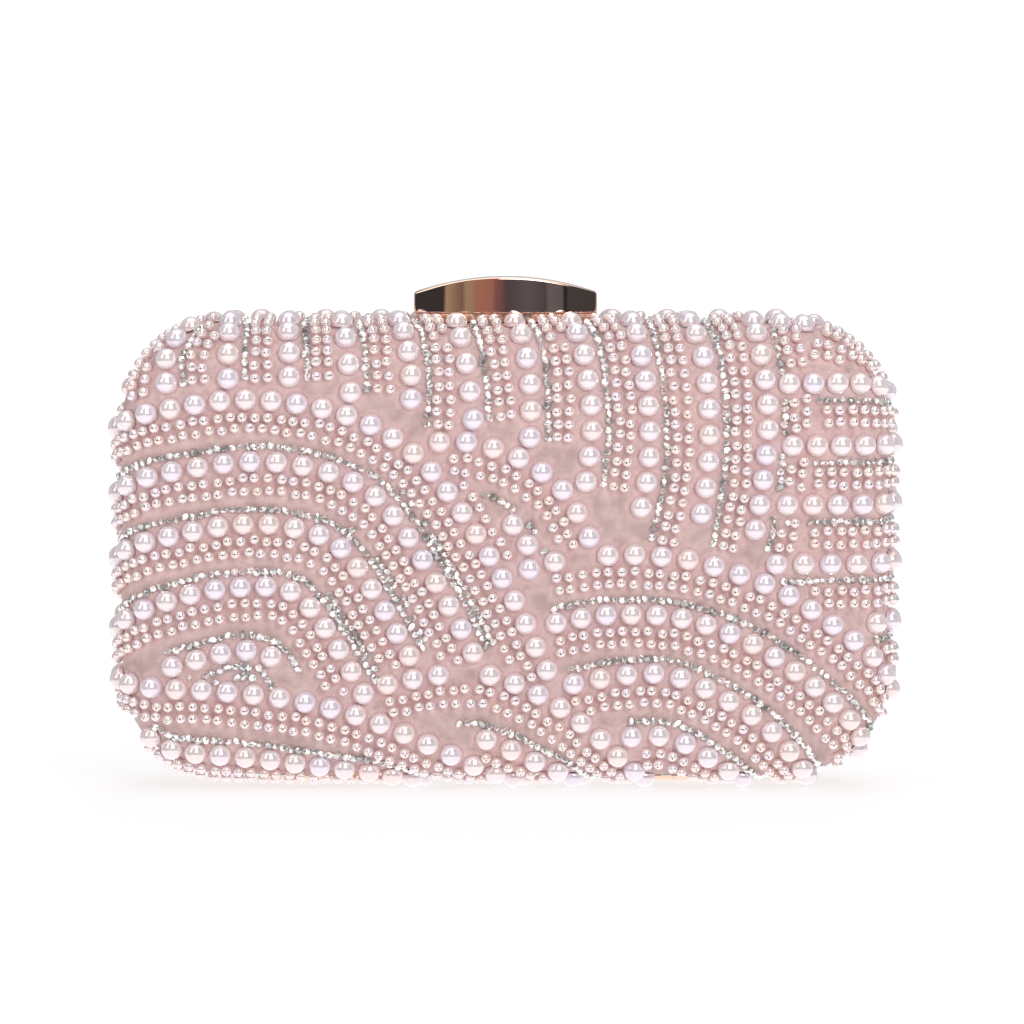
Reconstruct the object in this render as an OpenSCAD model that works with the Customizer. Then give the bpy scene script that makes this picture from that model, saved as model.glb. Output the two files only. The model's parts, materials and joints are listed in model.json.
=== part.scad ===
// Hard-shell box evening bag: two fabric-covered half shells hinged along the base,
// metal frames, a push-down top clasp and rows of sewn-on pearls and stones.
// Frame: X is the width, the front face looks along -Y, Z is up, and Z = 0 is the
// lowest point of the base pearls. The hinge axis runs along X at Y = 0.

/* [Case] */
// Width of the fabric-covered case
case_w = 199; // [190:1:210]
// Height of the fabric-covered case
case_h = 117; // [112:1:124]
// Depth of the closed case, front fabric to rear fabric
case_d = 48; // [46:1:52]
// Corner radius of the case, seen from the front
corner_r = 27; // [25:1:30]
// Radius of the rounded edge between the side walls and a face
edge_r = 12; // [10:0.5:13]

/* [Pearls and stones] */
// Diameter of the large pearls
pearl_d = 5.8; // [5:0.1:5.8]
// Diameter of the small pearls
seed_d = 2.8; // [2:0.1:2.8]
// Height of a large pearl, which has a flat back
pearl_h = 3.4; // [2.9:0.1:3.6]
// Diameter of the faceted stones at their foot
stone_d = 1.6; // [1.4:0.1:1.6]
// Distance between neighbouring large pearls
pearl_pitch = 6.7; // [6.5:0.1:8]
// Distance between neighbouring small pearls
seed_pitch = 3.3; // [3.2:0.1:4.5]
// Distance between neighbouring stones
stone_pitch = 2; // [1.8:0.05:3]

/* [Clasp] */
// Length of the metal clasp cap
cap_l = 47.5; // [40:0.5:50]
// Depth of the cap at its middle
cap_mid_d = 17; // [15:0.5:18]
// Depth of the cap at its two flat ends
cap_end_d = 9; // [8.5:0.5:10]
// Height of the cap's crown above the case, at its middle
cap_h = 12; // [11:0.1:15]
// How much higher the middle of the cap is than its ends
cap_rise = 4; // [2:0.5:5]
// Travel of the cap when it is pressed
cap_travel = 2; // [1:0.5:2]

/* [Hinges] */
// Distance of each hinge's middle from the middle of the case
hinge_x = 50; // [40:1:60]
// Length of one hinge
hinge_l = 24; // [20:1:30]

/* [Hidden] */
$fn = 64;

// Half shell: derived shape
half_d = case_d / 2;
crown_r = 65;                     // very shallow curve between the edge and the flat face
crown_a = 12;                     // angle that the shallow curve turns through
edge_a = 90 - crown_a;
rim_inset = edge_r * (1 - sin(crown_a)) + crown_r * sin(crown_a);
wall_d = half_d - edge_r * cos(crown_a) - crown_r * (1 - cos(crown_a));
core_r = corner_r - rim_inset;
cx = case_w / 2 - corner_r;
cy = case_h / 2 - corner_r;
bead_gap = 0.05;
case_z0 = pearl_h + bead_gap;     // height of the case's base: it stands on its pearls
case_top = case_z0 + case_h;
case_mid = case_z0 + case_h / 2;

// Layers of the wall, as depths under the fabric's outer face
cover_t = 0.8;
shell_t0 = 0.85;
shell_t1 = 2.35;
flange_t0 = 2.4;
flange_t1 = 3.2;
lining_t0 = 3.3;
lining_t1 = 3.9;
pad_t1 = 3.25;
rim_d0 = 0.1;                     // the two frames stay this far from the parting plane
rim_d1 = 2.4;
flange_d1 = 7;
skin_d0 = 2.45;
pad_d0 = 7.1;

// Fasteners and posts through the wall
rivet_r = 0.8;
rivet_head_r = 1.5;
rivet_head_h = 0.5;
hole_r = 0.85;
post_x = 12;
post_y = 3.6;
post_r = 1.5;
post_bore_r = 1.55;
post_hole_r = 2;
screw_x = 6;
screw_r = 0.9;
fix_d = 4.8;                      // depth of the screws and rivets from the parting plane
keeper_rivet_x = 5;
loop_rivet_x = 4;
loop_rivet_d = 5.8;
hinge_rivet_x = 8;
hinge_rivet_d = 4.6;

// Clasp
base_gap = 0.35;                  // space between the case's top and the clasp's base
base_h = 3.2;
cap_t = 1.2;
cap_fit = 0.2;
skirt_z = case_top + base_gap + cap_travel;
cap_z1 = case_top + cap_h;
spring_r = 2.1;
spring_wire_r = 0.22;
spring_turns = 4;
hook_z0 = case_top - 8.3;
hook_t = 1;
hook_lip_h = 0.6;
keeper_z1 = case_top - lining_t1 - 0.05;
keeper_t = 0.9;
keeper_lip_z0 = case_top - 6.3;
keeper_w = 14;
keeper_lip_w = 6;
keeper_d0 = 1.3;
keeper_d1 = 6.4;
hook_w = 7;
hook_reach = 3.6;
clip_t = 0.6;
clip_r = 2.6;
screw_head_r = 1.8;
screw_head_h = 0.9;
spring_l = 5.5;

// Hinges
pin_r = 0.75;
pin_bore_r = 0.8;
knuckle_r = 1.5;
hinge_drop = 1.6;
hinge_z = case_z0 - hinge_drop;
leaf_t = 0.6;
leaf_d = 6;
knuckle_gap = 0.15;
knuckle_mid = hinge_l / 2;
outer_knuckle_l = (hinge_l - knuckle_mid - knuckle_gap) / 2;
leaf_z0 = hinge_drop - bead_gap - leaf_t;
pin_head_r = 1.1;

// Slip pocket
pocket_w = 110;
pocket_h = 60;
pocket_y = -35;
pocket_t = 2.2;
pocket_slot = 0.8;
pocket_seam = 2;

// Attachment loops for a shoulder chain
loop_x = 65;
loop_hole_r = 2;
loop_r = 4;
loop_t = 1.6;
loop_d0 = 2.6;
loop_drop = 9.5;
loop_plate_l = 13;
loop_plate_d = 5;
stone_h = 1.2;

// Rows of large pearls on one face, as [x, height] points of a smooth curve on the
// unrolled face. Heights count from a line 5 mm below the fabric's lower edge.
pattern_zero = 5;
// Nested arcs on the left, arcs at the foot, and nested arcs on the right: each has
// two rows of small pearls on the side that it bends around.
arc_rows = [
    [[-110.8, 94], [-101, 96.5], [-89, 100], [-66, 103], [-42, 99.5], [-25, 90.5],
     [-12, 75.5], [2, 52], [7.5, 40], [10.7, 33.5]],
    [[-110.8, 77], [-101, 79.5], [-90, 83.5], [-71, 86.7], [-57, 86.8], [-44, 84],
     [-33, 78], [-24.4, 67], [-14.5, 50], [-8.3, 38]],
    [[-110.8, 60], [-101, 63], [-91, 66.7], [-71, 70.7], [-57, 70.6], [-43.5, 66],
     [-34.3, 54.3], [-24.7, 37.2]],
    [[-110.8, 42], [-101, 45], [-91, 49.7], [-77, 53.8], [-63, 55], [-55.5, 54],
     [-50, 49.5], [-42.7, 38.5], [-36.4, 27.4]],
    [[-110.8, 30], [-101, 29.5], [-88, 28.5], [-75, 28], [-54.5, 25.7], [-35, 20.6],
     [-17, 12.5], [-5.4, 6.2], [1, 1], [5, -6.3]],
    [[-30.3, 29.8], [-17, 32.2], [-4.3, 32.2], [9.6, 26.5], [21.3, 18.3],
     [29.5, 10], [34.5, 4], [38, -6.3]],
    [[-16.8, 92.2], [-9.7, 92.1], [3.2, 88.2], [14.8, 79.7], [21.5, 67.7]],
    [[12.7, 61.4], [26, 63], [38.6, 62.9], [52, 60.7], [71, 53.7], [88, 42.3],
     [97, 34.5], [100.5, 30], [104, 26.5]],
    [[13.1, 45.6], [26.7, 47.7], [45.8, 46.7], [64.7, 39.6], [81.4, 27.6],
     [90.7, 18], [92.6, 13.5], [94, 9]],
    [[17.6, 29.9], [31.9, 32.3], [44.8, 31.5], [62, 22.7], [71.8, 13.8],
     [77.7, 5], [81, -6.3]]
];
// The arcs with a row of stones along their outer side, and the one with stones inside
edged_arcs = [for (i = [1, 2, 3, 8, 9]) arc_rows[i]];
crown_arc = arc_rows[6];
// Short inner arcs with one or two rows of small pearls
inner_rows = [
    [[-92.5, 14.7], [-86, 12], [-65, 10.2], [-44.5, 7],
     [-31.7, 4.2], [-24, -1], [-21, -6.3]],
    [[-11.8, 15.7], [-5.3, 15.4], [6.1, 10], [15.3, 4], [20, -6.3]],
    [[32.5, 16], [38.8, 16.3], [46.3, 14.3], [56.1, 7.4], [60, 3], [64, -6.3]]
];
// Lone rows of large pearls
lone_rows = [
    [[-85.8, 34.3], [-72.7, 37.8], [-66.6, 38.6], [-60.2, 37], [-56.6, 31.4]],
    [[2, 70.9], [5.9, 65.4], [6.2, 59.5]]
];
// Two large pearls side by side on the top edge, next to the last upright row
edge_rows = [[[71, 125.5], [77.5, 124.8]]];
// The falling legs of three arcs, which have a second row of stones
leg_rows = [
    [[-31, 76], [-24.4, 67], [-14.5, 50], [-8.3, 38]],
    [[-43.5, 66], [-34.3, 54.3], [-24.7, 37.2]],
    [[-50, 49.5], [-42.7, 38.5], [-36.4, 27.4]]
];
// Rows of small pearls that follow the two upper corners
corner_rows = [
    [[-92.3, 104.8], [-92.4, 109.5], [-91.4, 114], [-89.3, 119], [-86, 127]],
    [[-95.8, 103.5], [-96.8, 108.5], [-96, 113.5], [-93.5, 119], [-91, 126]],
    [[70, 117.4], [80, 117.2], [87, 115.6], [92.5, 113], [99, 110.5], [108, 108]],
    [[70, 114.1], [80, 114], [87.5, 112.7], [94, 111.5], [100, 109]],
    [[-10.5, 81], [-7.7, 77.8], [-4.3, 71.5], [0.3, 63.5]]
];
// Rows of small pearls that fan round the upper right corner, by distance from its centre
fan_reaches = [29, 32.3, 35.6, 38.9];
fan_rows = [for (s = fan_reaches) [for (a = [88 : -12 : 28])
    [case_w / 2 - corner_r + s * cos(a), pattern_zero + case_h - corner_r + s * sin(a)]]];
// Upright rows, from the arcs up over the top edge, with their small rows to the right
column_rows = [
    [[-87, 107.3], [-87.3, 114], [-85.3, 120.5], [-83, 126]],
    [[-71, 108.5], [-71, 117], [-71, 133.3]],
    [[-55.3, 109], [-55.4, 117], [-56, 124], [-56, 133.3]],
    [[-39.6, 105], [-40.6, 117], [-42, 124], [-42.5, 133.3]],
    [[-24.4, 97], [-24, 108], [-25.3, 118], [-27, 124.5], [-28, 133.3]],
    [[-8.2, 98], [-9.8, 111.4], [-11, 117.3], [-12.5, 124], [-13, 133.3]],
    [[6.4, 93.4], [6.5, 106], [4.6, 118.4], [2.7, 124], [2, 133.3]],
    [[20.7, 82], [22.3, 95.8], [21.3, 107], [19.7, 117], [17.3, 124], [16.5, 133.3]],
    [[33.3, 69], [36.4, 82.3], [37, 96], [35.6, 110], [33.1, 124], [32.5, 133.3]],
    [[48.9, 67.2], [51.4, 80], [52.3, 95], [51.2, 111.8], [47.9, 124], [47, 133.3]],
    [[62.9, 63.3], [65.8, 80], [67.3, 96], [66.4, 109.6], [64.3, 122], [64, 133.3]]
];
// Level rows that run off the right-hand side, with their small rows below
level_rows = [
    [[72.8, 107.2], [92, 107.2], [110, 106.5]],
    [[73.7, 91.2], [95.6, 91.2], [110.8, 91]],
    [[72.4, 76], [97, 76], [110.8, 76]],
    [[69.7, 60.8], [97, 60.8], [110.8, 60.8]],
    [[96, 45.3], [110.8, 45.3]]
];
// How far the small rows and the stones lie from their large row
arc_seeds = [4.3, 7.4];
outer_stones = [-3.9];
leg_stones = [-5.7];
crown_arc_stones = [12];
column_seeds = [6.9, 10];
column_stones = [4.4];
inner_seeds = [4.3, 7.4];
lone_stones = [4.3, 6.8];

// ---- The surface of a half shell -------------------------------------------------
// The half's own frame: x, y up from the middle of the face, z out from the parting plane.

// Turning angle of the surface, for a distance s run outwards from a corner's centre
edge_run = edge_r * edge_a * PI / 180;
crown_run = crown_r * crown_a * PI / 180;
function lean(s) =
    s <= core_r ? 0 :
    s <= core_r + crown_run ? (s - core_r) / crown_r * 180 / PI :
    min(90, crown_a + (s - core_r - crown_run) / edge_r * 180 / PI);
function reach(s, a) =
    s <= core_r ? s :
    a <= crown_a ? core_r + crown_r * sin(a) :
    core_r + crown_r * sin(crown_a) + edge_r * (sin(a) - sin(crown_a));
function depth(s, a) =
    a <= crown_a ? half_d - crown_r * (1 - cos(a)) :
    a < 90 ? wall_d + edge_r * cos(a) :
    wall_d - (s - core_r - crown_run - edge_run);
function core_point(p) = [max(-cx, min(cx, p.x)), max(-cy, min(cy, p.y))];
function outward(p) = let (v = p - core_point(p)) norm(v) > 0 ? v / norm(v) : [0, 1];
// Normal of the surface, and a point lifted off it, at p on the unrolled face
function face_normal(p) =
    let (a = lean(norm(p - core_point(p))), v = outward(p))
    [v.x * sin(a), v.y * sin(a), cos(a)];
function lifted(p, lift) =
    let (s = norm(p - core_point(p)), a = lean(s), q = core_point(p) + outward(p) * reach(s, a))
    [q.x, q.y, depth(s, a)] + face_normal(p) * lift;

// ---- Rows of beads ---------------------------------------------------------------
function curve_point(a, b, c, d, t) =
    0.5 * (2 * b + (c - a) * t + (2 * a - 5 * b + 4 * c - d) * t * t
    + (3 * b - a - 3 * c + d) * t * t * t);
curve_steps = 10;
function curve(row) =
    let (last = len(row) - 1, p = [for (q = row) [q.x, q.y - pattern_zero - case_h / 2]])
    [for (i = [0 : last - 1]) for (k = [0 : curve_steps - 1])
        curve_point(p[max(i - 1, 0)], p[i], p[i + 1], p[min(i + 2, last)], k / curve_steps),
     p[last]];
// A curve moved sideways, to its right, by a distance
function beside(path, shift) =
    [for (i = [0 : len(path) - 1])
        let (v = path[min(i + 1, len(path) - 1)] - path[max(i - 1, 0)])
        path[i] + [v.y, -v.x] / norm(v) * shift];
function run_lengths(pts) =
    [for (i = 0, run = 0; i < len(pts);
        run = run + (i + 1 < len(pts) ? norm(pts[i + 1] - pts[i]) : 0), i = i + 1) run];
// Points at an even pitch along a path, measured on the surface
function spaced(path, pitch, lift) =
    let (runs = run_lengths([for (p = path) lifted(p, lift)]),
        total = runs[len(runs) - 1],
        step = total / max(1, round(total / pitch)))
    [for (i = [0 : len(path) - 2])
        for (k = [ceil(runs[i] / step - 0.001) : 1 : ceil(runs[i + 1] / step - 0.001) - 1])
            path[i] + (path[i + 1] - path[i]) * (k * step - runs[i]) / (runs[i + 1] - runs[i]),
     path[len(path) - 1]];
function flat(lists) = [for (l = lists) each l];
function near_any(p, others, gap) = len([for (q = others) if (norm(q - p) < gap) 1]) > 0;
function clear_of(beads, others, gap) =
    [for (b = beads) if (!near_any(b[0], [for (o = others) o[0]], gap)) b];
function thinned(beads, gap) =
    [for (i = [0 : 1 : len(beads) - 1])
        if (!near_any(beads[i][0], [for (j = [0 : 1 : i - 1]) beads[j][0]], gap)) beads[i]];
// A bead is kept off the parting line, the hinges under the base and the clasp on top
function cap_half_d(x) = cap_mid_d / 2 - (cap_mid_d - cap_end_d) / 2 * pow(2 * x / cap_l, 2);
function on_free_face(c, n, r, parting) =
    c.z >= parting
    && !(n.y < -0.99 && abs(abs(c.x) - hinge_x) < hinge_l / 2 + r + 0.3
        && c.z < leaf_d + r + 0.3)
    && !(n.y > 0.8 && abs(c.x) < cap_l / 2 + r + 0.3
        && c.z < cap_half_d(min(abs(c.x), cap_l / 2)) + r + 0.3);
// Beads as [centre, normal]
function beads(points, r, lift, parting) =
    [for (p = points)
        let (c = lifted(p, lift), n = face_normal(p))
        if (on_free_face(c, n, r, parting)) [c, n]];
pearl_parting = 6.2;
seed_parting = 4.2;
function rows_at(rows, shifts, pitch, lift) =
    [for (row = rows) for (shift = shifts) each spaced(beside(curve(row), shift), pitch, lift)];
// A large pearl's round part is centred this far above its flat back
pearl_lift = pearl_h - pearl_d / 2 + bead_gap;
seed_lift = seed_d / 2 + bead_gap;
stone_lift = stone_d / 2 + bead_gap;
function large_pearls() =
    thinned(beads(rows_at(concat(arc_rows, inner_rows, lone_rows, column_rows, level_rows,
        edge_rows), [0], pearl_pitch, pearl_lift), pearl_d / 2, pearl_lift, pearl_parting),
        pearl_d + 0.05);
function small_pearls(large) =
    thinned(clear_of(beads(concat(
        rows_at(arc_rows, arc_seeds, seed_pitch, seed_lift),
        rows_at(inner_rows, inner_seeds, seed_pitch, seed_lift),
        rows_at(concat(column_rows, level_rows), column_seeds, seed_pitch, seed_lift),
        rows_at(concat(corner_rows, fan_rows), [0], seed_pitch, seed_lift)),
        seed_d / 2, seed_lift, seed_parting), large, (pearl_d + seed_d) / 2), seed_d + 0.05);
function stones(large, small) =
    thinned(clear_of(clear_of(beads(concat(
        rows_at(concat(edged_arcs, inner_rows, [lone_rows[0]]), outer_stones, stone_pitch,
            stone_lift),
        rows_at([crown_arc], crown_arc_stones, stone_pitch, stone_lift),
        rows_at(leg_rows, leg_stones, stone_pitch, stone_lift),
        rows_at([lone_rows[0]], lone_stones, stone_pitch, stone_lift),
        rows_at(concat(column_rows, level_rows), column_stones, stone_pitch, stone_lift)),
        stone_d / 2, stone_lift, seed_parting), large, (pearl_d + stone_d) / 2 - 0.02),
        small, (seed_d + stone_d) / 2 - 0.1), stone_d + 0.05);
// The pearls under the case, which the bag stands on
function is_base(bead) = bead[1].y < -0.9;

// ---- Building blocks -------------------------------------------------------------
module front_half() translate([0, 0, case_mid]) rotate([90, 0, 0]) children();
module rear_half() rotate([0, 0, 180]) front_half() children();

arc_steps = 12;
crown_steps = 3;
// Outline of a wall layer's face, as [distance from the corner's centre, depth]
function layer_curve(t, d0) = concat(
    [[corner_r - t, d0]],
    [for (i = [0 : arc_steps]) let (a = edge_a * i / arc_steps)
        [corner_r - edge_r + (edge_r - t) * cos(a), wall_d + (edge_r - t) * sin(a)]],
    [for (i = [1 : crown_steps]) let (a = edge_a + crown_a * i / crown_steps)
        [core_r + (crown_r - t) * cos(a), half_d - crown_r + (crown_r - t) * sin(a)]],
    [[0, half_d - t]]);
function reversed(l) = [for (i = [len(l) - 1 : -1 : 0]) l[i]];

// An outline carried round the four sides and corners of the case
module carried(outline) {
    for (k = [0 : 3])
        translate([(k == 0 || k == 3 ? cx : -cx), (k < 2 ? cy : -cy), 0])
            rotate([0, 0, 90 * k])
                rotate_extrude(angle = 90)
                    polygon(outline);
    for (k = [0, 180])
        rotate([0, 0, k]) {
            translate([-cx, cy, 0])
                rotate([90, 0, 90])
                    linear_extrude(2 * cx)
                        polygon(outline);
            translate([cx, cy, 0])
                rotate([90, 0, 0])
                    linear_extrude(2 * cy)
                        polygon(outline);
        }
}
// One layer of the half shell: rounded walls and the flat of the face
module layer(t0, t1, d0) {
    carried(concat(layer_curve(t0, d0), reversed(layer_curve(t1, d0))));
    translate([-cx, -cy, half_d - t1])
        cube([2 * cx, 2 * cy, t1 - t0]);
}

// Holes through the top wall of the rear half, under the clasp
module clasp_holes() {
    for (s = [-1, 1]) {
        translate([s * post_x, post_y, case_top - 6])
            cylinder(h = 8, r = post_hole_r);
        translate([s * screw_x, fix_d, case_top - 6])
            cylinder(h = 8, r = screw_r + 0.05);
    }
}
module at_keeper_rivets()
    for (s = [-1, 1])
        translate([s * keeper_rivet_x, -fix_d, case_top])
            children();
module keeper_holes()
    at_keeper_rivets()
        translate([0, 0, -6])
            cylinder(h = 6 - shell_t1, r = hole_r);
module at_loop_rivets()
    for (s = [-1, 1])
        for (o = [-1, 1])
            translate([s * loop_x + o * loop_rivet_x, loop_rivet_d, case_top])
                children();
module loop_holes()
    at_loop_rivets()
        translate([0, 0, -6])
            cylinder(h = 6 - shell_t1, r = hole_r);
// Rivet places of the hinge leaves, on the rear (side = 1) or the front (side = -1)
module at_hinge_rivets(side)
    for (s = [-1, 1])
        for (o = [-1, 1])
            translate([s * hinge_x + o * hinge_rivet_x, side * hinge_rivet_d, case_z0])
                children();
module hinge_holes(side)
    at_hinge_rivets(side)
        translate([0, 0, -2])
            cylinder(h = 7, r = hole_r);

// ---- Shells, covers, padding, linings and frames -----------------------------------
module rear_shell()
    color("burlywood")
        difference() {
            rear_half() layer(shell_t0, shell_t1, skin_d0);
            clasp_holes();
            hinge_holes(1);
        }
module front_shell()
    color("burlywood")
        difference() {
            front_half() layer(shell_t0, shell_t1, skin_d0);
            hinge_holes(-1);
        }
module rear_cover()
    color("rosybrown")
        difference() {
            rear_half() layer(0, cover_t, skin_d0);
            clasp_holes();
            hinge_holes(1);
        }
module front_cover()
    color("rosybrown")
        difference() {
            front_half() layer(0, cover_t, skin_d0);
            hinge_holes(-1);
        }
module rear_padding() color("white") rear_half() layer(flange_t0, pad_t1, pad_d0);
module front_padding() color("white") front_half() layer(flange_t0, pad_t1, pad_d0);
module rear_lining()
    color("mistyrose")
        difference() {
            rear_half() layer(lining_t0, lining_t1, skin_d0);
            clasp_holes();
            loop_holes();
            hinge_holes(1);
        }
module front_lining()
    color("mistyrose")
        difference() {
            front_half() layer(lining_t0, lining_t1, skin_d0);
            keeper_holes();
            hinge_holes(-1);
        }
// Metal rim on the open edge, with a flange inside the shell
module frame_band()
    carried([
        [corner_r, rim_d0], [corner_r, rim_d1], [corner_r - flange_t0, rim_d1],
        [corner_r - flange_t0, flange_d1], [corner_r - flange_t1, flange_d1],
        [corner_r - flange_t1, rim_d0]
    ]);
module rear_frame()
    color("gold")
        difference() {
            rear_half() frame_band();
            clasp_holes();
            loop_holes();
            hinge_holes(1);
        }
module front_frame()
    color("gold")
        difference() {
            front_half() frame_band();
            keeper_holes();
            hinge_holes(-1);
        }

// ---- Inside: a flat slip pocket on the rear lining ---------------------------------
module slip_pocket()
    color("mistyrose")
        rear_half()
            translate([-pocket_w / 2, pocket_y, half_d - lining_t1 - bead_gap - pocket_t])
                difference() {
                    cube([pocket_w, pocket_h, pocket_t]);
                    translate([pocket_seam, pocket_seam, (pocket_t - pocket_slot) / 2])
                        cube([pocket_w - 2 * pocket_seam, pocket_h, pocket_slot]);
                }

// ---- Hinges ------------------------------------------------------------------------
module along_x(l, r)
    translate([-l / 2, 0, 0])
        rotate([0, 90, 0])
            cylinder(h = l, r = r);
module at_hinges()
    for (s = [-1, 1])
        translate([s * hinge_x, 0, hinge_z])
            children();
module rear_hinge_leaves()
    color("goldenrod")
        difference() {
            at_hinges() difference() {
                union() {
                    along_x(knuckle_mid - knuckle_gap, knuckle_r);
                    translate([-(knuckle_mid - knuckle_gap) / 2, 0, leaf_z0])
                        cube([knuckle_mid - knuckle_gap, leaf_d, leaf_t]);
                    translate([-hinge_l / 2, 1.4, leaf_z0])
                        cube([hinge_l, leaf_d - 1.4, leaf_t]);
                }
                along_x(hinge_l + 2, pin_bore_r);
            }
            hinge_holes(1);
        }
module front_hinge_leaves()
    color("goldenrod")
        difference() {
            at_hinges() difference() {
                union() {
                    for (s = [-1, 1])
                        translate([s * (hinge_l - outer_knuckle_l) / 2, 0, 0]) {
                            along_x(outer_knuckle_l, knuckle_r);
                            translate([-outer_knuckle_l / 2, -leaf_d, leaf_z0])
                                cube([outer_knuckle_l, leaf_d, leaf_t]);
                        }
                    translate([-hinge_l / 2, -leaf_d, leaf_z0])
                        cube([hinge_l, leaf_d - 1.4, leaf_t]);
                }
                along_x(hinge_l + 2, pin_bore_r);
            }
            hinge_holes(-1);
        }
module hinge_pins()
    color("silver")
        at_hinges() {
            along_x(hinge_l + 0.2, pin_r);
            for (s = [-1, 1])
                translate([s * (hinge_l / 2 + 0.3), 0, 0])
                    along_x(0.4, pin_head_r);
        }
module hinge_rivets(side)
    color("silver")
        at_hinge_rivets(side) {
            translate([0, 0, -bead_gap - leaf_t - 0.02 - rivet_head_h])
                cylinder(h = rivet_head_h, r = rivet_head_r);
            translate([0, 0, -bead_gap - leaf_t - 0.03])
                cylinder(h = leaf_t + lining_t1 + 3 * bead_gap, r = rivet_r);
            translate([0, 0, lining_t1 + bead_gap])
                cylinder(h = rivet_head_h, r = rivet_head_r);
        }
module rear_hinge_rivets() hinge_rivets(1);
module front_hinge_rivets() hinge_rivets(-1);

// ---- Clasp -------------------------------------------------------------------------
plan_sag = (cap_mid_d - cap_end_d) / 2;
plan_r = (pow(cap_l / 2, 2) + pow(plan_sag, 2)) / (2 * plan_sag);
dome_r = (pow(cap_l / 2, 2) + pow(cap_rise, 2)) / (2 * cap_rise);
// A block with the cap's curved plan, drawn in by t, between two heights
module lens_plan(t, z0, z1)
    intersection() {
        translate([-cap_l / 2 + t, -cap_mid_d, z0])
            cube([cap_l - 2 * t, 2 * cap_mid_d, z1 - z0]);
        translate([0, plan_r - cap_mid_d / 2, z0])
            cylinder(h = z1 - z0, r = plan_r - t, $fn = 360);
        translate([0, cap_mid_d / 2 - plan_r, z0])
            cylinder(h = z1 - z0, r = plan_r - t, $fn = 360);
    }
module domed_plan(t, z0)
    intersection() {
        lens_plan(t, z0, cap_z1 + 1);
        translate([0, cap_mid_d, cap_z1 - dome_r])
            rotate([90, 0, 0])
                cylinder(h = 2 * cap_mid_d, r = dome_r - t, $fn = 360);
    }
module clasp_cap()
    color("tan")
        difference() {
            domed_plan(0, skirt_z);
            domed_plan(cap_t, skirt_z - 1);
        }
base_z0 = case_top + base_gap;
base_z1 = base_z0 + base_h;
module at_posts()
    for (s = [-1, 1])
        translate([s * post_x, post_y, 0])
            children();
module clasp_base()
    color("tan")
        difference() {
            union() {
                lens_plan(cap_t + cap_fit, base_z0, base_z1);
                intersection() {
                    lens_plan(cap_t + cap_fit, case_top + bead_gap, base_z0 + 0.5);
                    translate([-cap_l, 0.5, case_top])
                        cube([2 * cap_l, cap_mid_d, 2]);
                }
            }
            at_posts()
                translate([0, 0, case_top - 1])
                    cylinder(h = base_h + 3, r = post_bore_r);
            for (s = [-1, 1])
                translate([s * screw_x, fix_d, case_top - 1])
                    cylinder(h = 3.5, r = screw_r + 0.02);
        }
module clasp_posts()
    color("silver")
        at_posts()
            translate([0, 0, hook_z0 - clip_t - 0.3])
                cylinder(h = cap_z1 - 1.9 - (hook_z0 - clip_t - 0.3), r = post_r);
module post_clips()
    color("silver")
        at_posts()
            translate([0, 0, hook_z0 - clip_t - 0.05])
                difference() {
                    cylinder(h = clip_t, r = clip_r);
                    translate([0, 0, -1])
                        cylinder(h = clip_t + 2, r = post_r + 0.02);
                }
module clasp_hook()
    color("silver")
        difference() {
            union() {
                translate([-post_x - 2.5, post_y - 2, hook_z0])
                    cube([2 * post_x + 5, 4, hook_t]);
                translate([-hook_w / 2, -hook_reach, hook_z0])
                    cube([hook_w, hook_reach + post_y, hook_t]);
                translate([-hook_w / 2, -hook_reach, hook_z0])
                    cube([hook_w, 1, hook_t + hook_lip_h]);
            }
            at_posts()
                translate([0, 0, hook_z0 - 1])
                    cylinder(h = hook_t + 2, r = post_r + 0.02);
        }
// A round wire wound into a spring that stands on z = 0
module coil_spring(r, wire_r, length, turns) {
    sides = 6;
    rings = 16 * turns;
    points = [for (i = [0 : rings]) for (j = [0 : sides - 1])
        let (a = 360 * turns * i / rings, b = 360 * j / sides, q = r + wire_r * cos(b))
        [q * cos(a), q * sin(a), wire_r + (length - 2 * wire_r) * i / rings + wire_r * sin(b)]];
    walls = [for (i = [0 : rings - 1]) for (j = [0 : sides - 1]) let (k = (j + 1) % sides)
        [i * sides + j, (i + 1) * sides + j, (i + 1) * sides + k, i * sides + k]];
    polyhedron(points, concat(walls,
        [[for (j = [0 : sides - 1]) j]],
        [[for (j = [sides - 1 : -1 : 0]) rings * sides + j]]));
}
module clasp_springs()
    color("silver")
        at_posts()
            translate([0, 0, base_z1 + 0.03])
                coil_spring(spring_r, spring_wire_r, spring_l, spring_turns);
module clasp_screws()
    color("silver")
        for (s = [-1, 1])
            translate([s * screw_x, fix_d, case_top]) {
                translate([0, 0, -lining_t1 - bead_gap - screw_head_h])
                    cylinder(h = screw_head_h, r = screw_head_r);
                translate([0, 0, -lining_t1 - 2 * bead_gap])
                    cylinder(h = lining_t1 + 2 * bead_gap + 2.3, r = screw_r);
            }
module clasp_keeper()
    color("silver")
        difference() {
            union() {
                translate([-keeper_w / 2, -keeper_d1, keeper_z1 - keeper_t])
                    cube([keeper_w, keeper_d1 - keeper_d0, keeper_t]);
                translate([-keeper_lip_w / 2, -keeper_d0 - 1, keeper_lip_z0])
                    cube([keeper_lip_w, 1, keeper_z1 - keeper_lip_z0]);
            }
            keeper_holes();
        }
module keeper_rivets()
    color("silver")
        at_keeper_rivets() {
            translate([0, 0, keeper_z1 - case_top - keeper_t - 0.02 - rivet_head_h])
                cylinder(h = rivet_head_h, r = rivet_head_r);
            translate([0, 0, keeper_z1 - case_top - keeper_t - 0.03])
                cylinder(h = case_top - flange_t0 - keeper_z1 + keeper_t, r = rivet_r);
        }

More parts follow.
